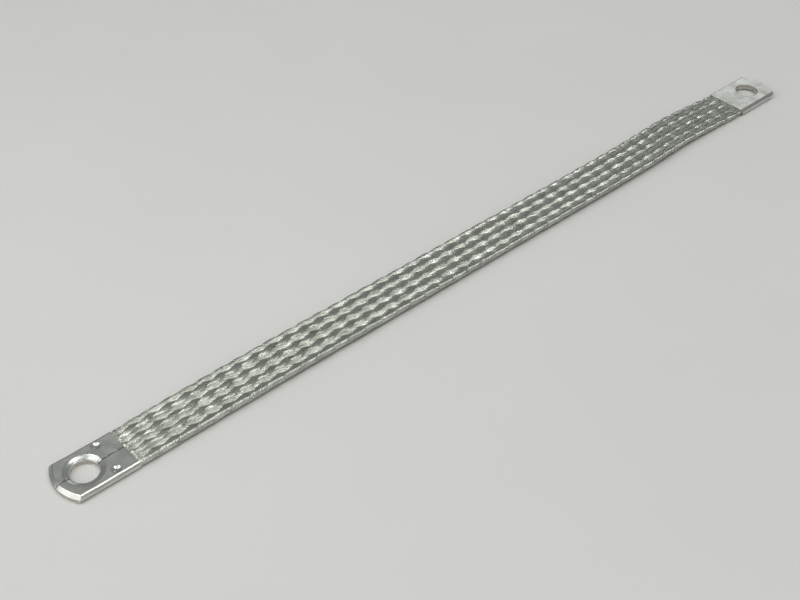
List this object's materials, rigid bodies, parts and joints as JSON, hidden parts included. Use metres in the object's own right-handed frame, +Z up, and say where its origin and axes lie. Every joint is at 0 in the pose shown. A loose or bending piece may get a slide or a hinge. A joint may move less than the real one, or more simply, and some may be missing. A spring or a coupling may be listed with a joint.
{
  "type": "grounding braid",
  "caption": "Flat strap of braided tinned wire, its ends pressed in folded sheet ferrules with punched bolt holes, for bonding metal parts to earth.",
  "frame": {"origin": "middle of the underside, halfway between the two bolt holes", "axes": "+X runs along the braid from the ferrule with its seam up to the one with its seam down, +Z is up from the surface it lies on"},
  "size_m": [0.318, 0.017, 0.0026],
  "materials": {
    "braided_wire": "satin",
    "ferrule_sheet": "satin"
  },
  "bodies": {
    "root": {"braid": "braided_wire", "near_ferrule": "ferrule_sheet", "far_ferrule": "ferrule_sheet"}
  },
  "joints": []
}
